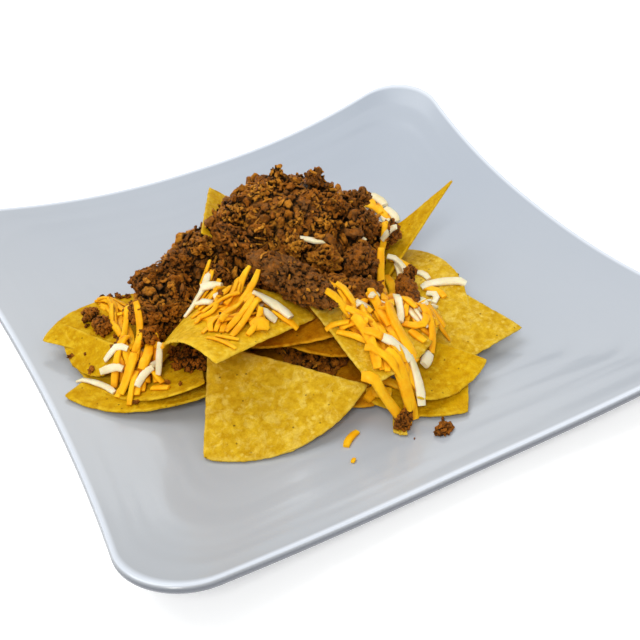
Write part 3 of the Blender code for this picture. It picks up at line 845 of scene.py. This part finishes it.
def scatterTree():
    tree, given = newTree("meatScatter", [
        ("Variants", "Collection"), ("Spacing", "Float"), ("Smallest", "Float"), ("Largest", "Float"),
        ("Seed", "Int"), ("Material", "Material")])
    points = addNode(tree, "GeometryNodeDistributePointsOnFaces",
                     {"Mesh": given["Geometry"], "Distance Min": given["Spacing"], "Density Max": 400000.0,
                      "Seed": given["Seed"]}, distribute_method="POISSON")
    skew = maths(tree, "POWER", diceOf(tree, given["Seed"]), 2.2)    # most crumbs are near the smallest
    size = spanOf(tree, skew, given["Smallest"], given["Largest"])
    lift = vectors(tree, "SCALE", points.outputs["Normal"], maths(tree, "MULTIPLY", size, 0.15))
    placed = wire(tree, "GeometryNodeSetPosition", {"Geometry": points.outputs[0], "Offset": lift})
    turn = wire(tree, "FunctionNodeRandomValue", {0: (0, 0, 0), 1: (6.283, 6.283, 6.283)},
                data_type="FLOAT_VECTOR")
    shapes = wire(tree, "GeometryNodeCollectionInfo", {"Collection": given["Variants"],
                                                       "Separate Children": True, "Reset Children": True})
    crumbs = wire(tree, "GeometryNodeInstanceOnPoints", {
        "Points": placed, "Instance": shapes, "Pick Instance": True, "Scale": size,
        "Rotation": wire(tree, "FunctionNodeEulerToRotation", {0: turn})})
    toned = wire(tree, "GeometryNodeStoreNamedAttribute",
                 {"Geometry": crumbs, "Name": "tone", "Value": diceOf(tree, 4)},
                 data_type="FLOAT", domain="INSTANCE")
    endTree(tree, toned, given["Material"], False)
    return tree


def clearHost(sources, room, bareClumps):
    # the part of a surface that crumbs may sit on: it faces up or out, and chips keep clear of it
    shape = bmesh.new()
    for source in sources:
        shape.from_mesh(source.data)
    shape.normal_update()
    dice = random.Random(6)
    clumps = [(Vector(c) * mm, clumpTurn(turn, dip).inverted(), half)
              for c, half, turn, dip, _ in bigClumps if half[0] >= meat["bareFrom"]]

    def onClump(spot):
        for middle, turning, half in clumps:
            local = turning @ (spot - middle) / mm
            if sum((c / h) ** 2 for c, h in zip(local, half)) < meat["clumpReach"]:
                return dice.random() < bareClumps
        return False

    away = [f for f in shape.faces if f.normal.z < meat["overhang"]
            or chipTree.find_nearest(f.calc_center_median(), room)[0] is not None
            or onClump(f.calc_center_median())]
    bmesh.ops.delete(shape, geom=away, context="FACES")
    return shapeObject("scatterHost", shape)


def markCreviceShade(pieces, others, reach=3.6 * mm):
    # how closed in each point is, from rays in a few directions; the materials darken closed-in points as
    # painted shade
    tree = treeOf([*pieces, *others])
    ways = [(0, 0, 1), (1, 0, 0), (-1, 0, 0), (0, 1, 0), (0, -1, 0)]
    ways += [(x, y, z) for z in (1, -0.6) for x in (1, -1) for y in (1, -1)]
    ways = [Vector(way).normalized() for way in ways]
    for piece in pieces:
        values = []
        for vert in piece.data.vertices:
            normal, met, total = vert.normal, 0.0, 0.001
            start = vert.co + normal * 0.15 * mm
            for way in ways:
                facing = way.dot(normal)
                if facing > 0.15:
                    total += facing
                    if tree.ray_cast(start, way, reach)[0]:
                        met += facing
            values.append(met / total)
        setValues(piece, "creviceShade", values)


relief = reliefTree()
meatCore = makeCore()
meatClumps = makeClumps()
variants = makeVariants()
scatter = scatterTree()
chipTree = treeOf(chipPieces.values())
meatPieces = [meatCore, meatClumps]
for label, sources, room, bareClumps in (("large", [meatCore], 3.2 * mm, 0.9),
                                         ("small", [meatCore, meatClumps], 1.6 * mm, 0.7)):
    spread = meat[label]
    crumbs = growPiece(f"meatCrumbs.{label}", clearHost(sources, room, bareClumps), scatter, {
        "Variants": variants, "Spacing": spread["spacing"], "Smallest": spread["smallest"],
        "Largest": spread["largest"], "Seed": spread["seed"], "Material": brownedMeat})
    keepLow(crumbs, meat["peaks"][1])
    finishPiece(crumbs, "meat")
    meatPieces.append(crumbs)
for variant in list(variants.objects):
    bpy.data.objects.remove(variant)
bpy.data.collections.remove(variants)
markCreviceShade(meatPieces, chipPieces.values())
print("meat ready")


# ground under the cheese: a height map of what has been laid so far

ground = {"cell": 0.8 * mm, "low": (-135 * mm, -125 * mm), "size": (275, 250)}


def readGround(pieces):
    tree = treeOf(pieces)
    columns, rows = ground["size"]
    heights = []
    for j in range(rows):
        for i in range(columns):
            x, y = ground["low"][0] + i * ground["cell"], ground["low"][1] + j * ground["cell"]
            hit = tree.ray_cast(Vector((x, y, 0.2)), Vector((0, 0, -1)))[0]
            heights.append(hit.z if hit else 0.0)
    return heights


def cellOf(x, y):
    columns, rows = ground["size"]
    i = min(max(round((x - ground["low"][0]) / ground["cell"]), 0), columns - 1)
    j = min(max(round((y - ground["low"][1]) / ground["cell"]), 0), rows - 1)
    return j * columns + i


def meatDepth(spot):
    # how deep a spot on the chips lies under the mound
    cell = cellOf(*spot)
    return bare[cell] - chipHeights[cell]


chipHeights = readGround([plateMesh, *chipPieces.values()])
heights = readGround([plateMesh, meatCore, meatClumps, *chipPieces.values()])
bare = list(heights)


# grated cheese: drifts of shreds, and single shreds listed one by one as
# (start, end, how far it bows sideways, width as a share)

cheese = {"width": 3.2 * mm, "thick": 1.5 * mm, "joints": 10, "taut": 4, "droop": 1.3 * mm,
          "pile": 3.6 * mm, "drop": 11 * mm, "low": 13 * mm, "buried": 1 * mm,
          "wobble": 0.4 * mm, "wobbleSize": 5 * mm}
melt = {"drifts": 6, "step": 1.1 * mm, "thick": 1.1 * mm, "sunk": 0.5 * mm, "lowest": 12 * mm,
        "steep": 2.2 * mm}
# middle, half length, half width, turn, heading, spread, orange and white shreds, lengths, width
drifts = [
    ((-92, -4), 22, 8, -117, -117, 20, 46, 2, (12, 24), 0.95),
    ((-92, 34), 13, 4, -70, -72, 15, 9, 0, (10, 20), 0.9),
    ((-93, 18), 9, 5, -100, -108, 28, 8, 0, (10, 18), 0.9),
    ((-50, -27), 22, 13, 25, 218, 20, 44, 3, (10, 22), 0.8),
    ((0, -66), 26, 10, -85, -92, 17, 60, 6, (14, 28), 1.05),
    ((26, -50), 21, 8, -80, -98, 22, 28, 6, (12, 22), 0.95),
    ((43, -8), 11, 5, 70, 75, 30, 8, 4, (8, 14), 0.9),
]
singleShreds = {
    "whiteCheese": [
        ((-108, -3), (-98, -9), 1, 1.0), ((-122, 1), (-110, -17), 2, 0.95),
        ((-112, -6), (-103, -13), 1, 1.2), ((-101, -24), (-91, -19), 1, 1.1),
        ((-91, -18), (-87, -15), 0, 1.0), ((-90, -23), (-86, -21), 0, 1.0),
        ((-50, 5), (-70, -12), 3, 1.0), ((-58, -5), (-49, -9), 1, 1.3), ((-65, -17), (-59, -22), 0, 1.3),
        ((-42, -30), (-31, -43), 2, 1.4), ((-43, -38), (-38, -42), 0, 1.3), ((-6, -5), (6, -10), 0, 1.1),
        ((22, -11), (26, -10), 0, 0.8), ((-10, -57), (4, -53), 1, 1.1), ((5, -52), (12, -46), 0, 1.0),
        ((22, -44), (13, -64), 1, 1.1), ((40, -38), (30, -58), -1, 1.1), ((44, -37), (42, -46), 3, 1.0),
        ((44, -32), (63, -42), 2, 1.4), ((48, -20), (50, -29), 1, 1.0), ((-3, -76), (5, -85), 1, 1.7),
        ((6, -83), (3, -98), 1, 1.3), ((13, -84), (19, -79), 0, 1.7), ((38, -5), (44, -9), 1, 1.0),
        ((38, -10), (42, -22), 2, 1.0), ((44, 24), (52, 9), 1, 1.0), ((73, 70), (75, 56), 1, 1.5),
        ((74, 54), (73, 40), 1, 1.4), ((70, 50), (68, 38), 0, 1.3)],
    "cheddar": [
        ((-96, 41), (-84, 32), 1, 0.8), ((-85, 11), (-96, -10), 2, 1.0), ((-87, -6), (-96, -18), 1, 1.4),
        ((-96, -11), (-108, -20), 1, 1.4), ((-85, -10), (-86, -24), 1, 0.8),
        ((-95, -26), (-89, -33), 0, 1.0), ((-41, -26), (-63, -41), -1, 0.9),
        ((-42, -30), (-63, -45), 1, 0.9), ((-43, -35), (-62, -49), 0, 0.9),
        ((-43, -39), (-55, -50), 1, 0.9), ((-48, -30), (-62, -38), 1, 0.8),
        ((-72, -46), (-64, -58), 1, 0.6), ((-68, -46), (-60, -52), 0, 0.6),
        ((-51, -45), (-44, -47), 0, 1.9), ((-15, -59), (-5, -67), 1, 1.0),
        ((-38, -31), (-30, -37), 1, 1.1), ((-16, -50), (-9, -58), 1, 1.2),
        ((-9, -46), (-5, -56), 1, 1.1), ((-37, -37), (-30, -47), 0, 1.0),
        ((-20, -55), (-11, -61), 1, 0.9), ((-10, -56), (-2, -66), 0, 1.0),
        ((-17, -60), (-9, -72), 1, 0.9), ((-9, -61), (-11, -85), 2, 1.4), ((34, -15), (22, -38), 3, 1.4),
        ((21, -39), (6, -60), 2, 1.5), ((10, -59), (9, -84), -2, 1.6), ((14, -64), (27, -62), -7, 1.1),
        ((27, -60), (20, -79), 2, 1.1), ((15, -69), (18, -77), 0, 1.2), ((45, -33), (49, -45), 1, 1.1),
        ((-4, -80), (-1, -98), 1, 1.8), ((-19, -85), (-6, -100), 1, 1.6), ((44, 5), (36, -7), 2, 1.0),
        ((-34, -96), (-25, -90), 1, 1.1), ((-37, -107), (-35, -105), 0, 0.6),
        ((38, 31), (47, 13), 1, 1.1), ((-9, -70), (1, -84), 2, 1.2), ((-12, -76), (-2, -90), 1, 1.2),
        ((-47, 9), (-55, 4), 1, 0.8), ((-48, 4), (-59, -3), 1, 0.85), ((-52, 1), (-62, -7), 0, 0.8),
        ((-47, -1), (-58, -8), 1, 0.85), ((-52, -4), (-64, -12), -1, 0.9),
        ((-50, -9), (-61, -16), 1, 0.8), ((-45, -5), (-54, -13), 0, 0.85), ((69, 75), (70, 60), 1, 1.5),
        ((72, 60), (71, 44), -1, 1.5), ((67, 64), (69, 50), 1, 1.2)],
}


# cheddar that runs under a chip: start, end, width as a share
tuckedShreds = [
    ((-14, -79, 13.5), (2, -71, 16), 1.5), ((-12, -75, 14), (-3, -82, 15.5), 1.5),
    ((-4, -73, 17), (4, -82, 15), 1.3)]


def shredPath(start, heading, length, bow, width):
    # lay a shred on the ground, bridging small hollows, and raise the ground under it
    joints = max(4, min(cheese["joints"], round(length / (2.4 * mm))))
    ahead = Vector((math.cos(heading), math.sin(heading)))
    aside = Vector((-ahead.y, ahead.x))
    reach = cheese["width"] * width / 2
    flat, base, lean = [], [], []
    for k in range(joints):
        share = k / (joints - 1)
        spot = Vector(start) + ahead * length * share + aside * bow * 4 * share * (1 - share)
        left, here, right = (heights[cellOf(*(spot + aside * d * reach))] for d in (0.8, 0, -0.8))
        flat.append(spot)
        base.append(max(here, (left + right) / 2) + cheese["thick"] * 0.5)
        lean.append(max(min((left - right) / (1.6 * reach), 1.0), -1.0))
    lift = list(base)
    for _ in range(cheese["taut"]):
        for k in range(1, joints - 1):
            lift[k] = max(base[k], (lift[k - 1] + lift[k + 1]) / 2)
        lift[0] = max(base[0], 2 * lift[1] - lift[2] - cheese["droop"])
        lift[-1] = max(base[-1], 2 * lift[-2] - lift[-3] - cheese["droop"])
    lean = [sum(lean[max(k - 1, 0):k + 2]) / len(lean[max(k - 1, 0):k + 2]) for k in range(joints)]
    path = []
    for k in range(joints):
        run = flat[min(k + 1, joints - 1)] - flat[max(k - 1, 0)]
        rise = lift[min(k + 1, joints - 1)] - lift[max(k - 1, 0)]
        tangent = Vector((run.x, run.y, rise)).normalized()
        across = Vector((-run.y, run.x, 0)).normalized() + Vector((0, 0, lean[k]))
        path.append((Vector((flat[k].x, flat[k].y, lift[k])), tangent.cross(across).normalized()))
    for k in range(joints - 1):
        for part in (0, 0.35, 0.7):
            spot, z = flat[k].lerp(flat[k + 1], part), lift[k] + (lift[k + 1] - lift[k]) * part
            for d in (-0.7, 0, 0.7):
                cell = cellOf(*(spot + aside * d * reach))
                heights[cell] = max(heights[cell], z + cheese["thick"] * 0.4)
    return path


def layStrands():
    # thin fibres of meat, curled over the mound where it is gentle
    dice = random.Random(8)
    rows = []
    while len(rows) < meat["strands"]:
        spot = Vector((dice.uniform(-85, 45), dice.uniform(-40, 50))) * mm
        if meatDepth(spot) > 4 * mm:
            width = dice.uniform(0.25, 0.5)
            length = dice.uniform(3, 6.5) * mm
            way = dice.uniform(0, 2 * math.pi)
            end = spot + Vector((math.cos(way), math.sin(way))) * length
            if abs(bare[cellOf(*spot)] - bare[cellOf(*end)]) > 0.5 * length:
                continue
            rows.append((shredPath(spot, way, length, dice.gauss(0, 1.1) * mm, width), width))
    return rows


def fitsDrift(spot, start):
    # a drift's shred isn't piled too high, isn't under the meat and doesn't dangle over the plate
    cell = cellOf(*spot)
    steps = [start.lerp(2 * spot - start, k / 6) for k in range(7)]
    buried = sum(meatDepth(step) > cheese["buried"] for step in steps)
    lowest = min(chipHeights[cellOf(*step)] for step in (steps[0], steps[-1]))
    dangles = lowest < cheese["low"] and heights[cell] - lowest > cheese["drop"]
    return heights[cell] - bare[cell] <= cheese["pile"] and buried <= 1 and not dangles


def layShreds():
    laid = {"cheddar": [], "whiteCheese": []}
    dice = random.Random(21)
    for middle, long, wide, turn, heading, spread, orange, white, lengths, broad in drifts:
        turning = Matrix.Rotation(math.radians(turn), 2)
        kinds = ["cheddar"] * orange + ["whiteCheese"] * white
        dice.shuffle(kinds)
        for kind in kinds:
            angle, out = dice.uniform(0, 2 * math.pi), math.sqrt(dice.random())
            offset = Vector((math.cos(angle) * out * long, math.sin(angle) * out * wide))
            spot = (turning @ offset + Vector(middle)) * mm
            way = math.radians(heading + dice.gauss(0, spread))
            length = dice.uniform(*lengths) * mm
            start = spot - Vector((math.cos(way), math.sin(way))) * length / 2
            if fitsDrift(spot, start):
                width = dice.uniform(0.75, 1.3) * broad
                laid[kind].append((shredPath(start, way, length, dice.gauss(0, 1.2) * mm, width), width))
    for kind in ("cheddar", "whiteCheese"):
        for start, end, bow, width in singleShreds[kind]:
            start, end = Vector(start) * mm, Vector(end) * mm
            way = end - start
            path = shredPath(start, math.atan2(way.y, way.x), way.length, bow * mm, width)
            laid[kind].append((path, width))
    for start, end, width in tuckedShreds:
        steps = [Vector(start).lerp(Vector(end), k / 5) * mm for k in range(6)]
        laid["cheddar"].append(([(step, Vector((0, -0.5, 0.85))) for step in steps], width))
    return laid


def shredTree():
    tree, given = newTree("cheeseShreds", [("Width", "Float"), ("Thickness", "Float"), ("Wobble", "Float"),
                                           ("Wobble Size", "Float"), ("Material", "Material")])
    up = wire(tree, "GeometryNodeInputNamedAttribute", {0: "up"}, data_type="FLOAT_VECTOR")
    wide = wire(tree, "GeometryNodeInputNamedAttribute", {0: "wide"}, data_type="FLOAT")
    curve = wire(tree, "GeometryNodeMeshToCurve", {0: given["Geometry"]})
    curve = wire(tree, "GeometryNodeSetCurveNormal", {"Curve": curve, "Normal": up}, mode="FREE")
    profile = wire(tree, "GeometryNodeCurvePrimitiveQuadrilateral",
                   {"Width": given["Thickness"], "Height": given["Width"]}, mode="RECTANGLE")
    soft = wire(tree, "GeometryNodeFilletCurve", {0: profile, "Count": 1, "Radius": 0.4 * mm}, mode="POLY")
    body = wire(tree, "GeometryNodeCurveToMesh", {0: curve, 1: soft, "Scale": wide, "Fill Caps": True})
    where = tree.nodes.new("GeometryNodeInputPosition").outputs[0]
    waves = noiseNode(tree, where, maths(tree, "DIVIDE", 1.0, given["Wobble Size"]))
    centred = vectors(tree, "SUBTRACT", waves.outputs["Color"], (0.5, 0.5, 0.5))
    offset = vectors(tree, "SCALE", centred, given["Wobble"])
    moved = wire(tree, "GeometryNodeSetPosition", {"Geometry": body, "Offset": offset})
    endTree(tree, moved, given["Material"])
    return tree


def makeShreds(name, rows, material):
    points, edges, ups, wides = [], [], [], []
    for path, width in rows:
        base = len(points)
        points += [p for p, _ in path]
        ups += [c for _, n in path for c in n]
        wides += [width * (0.8 if k in (0, len(path) - 1) else 1) for k in range(len(path))]
        edges += [(base + k, base + k + 1) for k in range(len(path) - 1)]
    host = meshObject("shredPaths", points, [], None, edges)
    host.data.attributes.new("up", "FLOAT_VECTOR", "POINT").data.foreach_set("vector", ups)
    setValues(host, "wide", wides)
    piece = growPiece(name, host, shreds, {
        "Width": cheese["width"], "Thickness": cheese["thick"], "Wobble": cheese["wobble"],
        "Wobble Size": cheese["wobbleSize"], "Material": material})
    pointOutwards(piece)
    return piece


def makeMelt():
    # thin melted cheese between the shreds of a drift
    shape = bmesh.new()
    for middle, long, wide, turn, *_ in drifts[:melt["drifts"]]:
        turning = Matrix.Rotation(math.radians(turn), 2)
        grid = {}
        for i in range(-30, 31):
            for j in range(-16, 17):
                flat = Vector((i, j)) * melt["step"]
                spot = turning @ flat + Vector(middle) * mm
                inside = 1 - (flat.x / (long * mm)) ** 2 - (flat.y / (wide * mm)) ** 2
                inside += 0.9 * noise.noise(Vector((spot.x, spot.y, 0)) / (7 * mm))
                base = chipHeights[cellOf(*spot)]
                if inside < 0.35 or meatDepth(spot) > cheese["buried"] or base < melt["lowest"]:
                    continue
                thick = melt["thick"] * min((inside - 0.25) * 2, 1)
                grid[i, j] = [shape.verts.new((*spot, base + lift)) for lift in (thick, -melt["sunk"])]
        quads = []
        for i, j in grid:
            ring = [(i, j), (i + 1, j), (i + 1, j + 1), (i, j + 1)]
            if all(key in grid for key in ring):
                tops = [grid[key][0].co.z for key in ring]
                if max(tops) - min(tops) < melt["steep"]:
                    quads.append(ring)
        edges = {}
        for ring in quads:
            shape.faces.new([grid[key][0] for key in ring])
            shape.faces.new([grid[key][1] for key in reversed(ring)])
            for a, b in zip(ring, ring[1:] + ring[:1]):
                if (b, a) in edges:
                    del edges[b, a]
                else:
                    edges[a, b] = True
        for a, b in edges:
            shape.faces.new([grid[b][0], grid[a][0], grid[a][1], grid[b][1]])
    bmesh.ops.delete(shape, geom=[v for v in shape.verts if not v.link_faces], context="VERTS")
    bmesh.ops.recalc_face_normals(shape, faces=shape.faces)
    piece = shapeObject("meltedCheese", shape, cheddar)
    finishPiece(piece, "cheese")
    print(f"  meltedCheese: {len(piece.data.polygons)} faces")


shreds = shredTree()
strandPiece = makeShreds("meatStrands", layStrands(), brownedMeat)
setValues(strandPiece, "tone", [0.6 + 0.6 * noise.noise(v.co / (9 * mm)) for v in strandPiece.data.vertices])
finishPiece(strandPiece, "meat")
laid = layShreds()
orangePiece = makeShreds("cheddarShreds", laid["cheddar"], cheddar)
whitePiece = makeShreds("whiteShreds", laid["whiteCheese"], whiteCheese)
finishPiece(orangePiece, "cheese", *[n for n in cad if n.startswith("cheese_")])
finishPiece(whitePiece, "cheese")
makeMelt()
markCreviceShade([orangePiece, whitePiece], [*meatPieces, *chipPieces.values()], 2.6 * mm)
print("cheese ready")


# lumps of meat that lie apart

def makeLooseLumps():
    shape = bmesh.new()
    dice = random.Random(9)
    for _, middle, half, turn in lumps:
        if len(middle) == 2:
            spot = [c * mm for c in middle]
            middle = (*middle, chipHeights[cellOf(*spot)] / mm + half[2] * 0.7)
        turning = Matrix.Rotation(math.radians(turn), 3, "Z")
        middle, half = Vector(middle) * mm, [h * mm for h in half]
        crumbShape(shape, middle, half, turning, dice.random(), 5, 2.6 * mm)
        for _ in range(meat["knobs"]):
            way = Vector([dice.gauss(0, 1) for _ in range(3)]).normalized()
            aside = turning @ Vector([c * h for c, h in zip(way, half)])
            size = dice.uniform(0.6, 1.5) * mm
            knob = [size * 1.5, size, size * 0.8]
            crumbShape(shape, middle + aside * 0.9, knob, anyTurn(dice, 6), dice.random(), 2, size)
    for (x, y), size in bits:
        x, y, size = x * mm, y * mm, size * mm
        place = Vector((x, y, heights[cellOf(x, y)] + size * 0.35))
        half = [size * k for k in (1.2, 0.9, 0.7)]
        crumbShape(shape, place, half, anyTurn(dice, 6), dice.random(), 3, size)
    stayOver(shape.verts, meat["looseClear"])
    bmesh.ops.recalc_face_normals(shape, faces=shape.faces)
    piece = shapeObject("looseLumps", shape, brownedMeat)
    setValues(piece, "tone", [0.4] * len(piece.data.vertices))
    finishPiece(piece, "meat", *sorted({node for node, *_ in lumps if node}))
    markCreviceShade([piece], [])
    print(f"  looseLumps: {len(piece.data.polygons)} faces")


makeLooseLumps()
print("loose lumps ready")
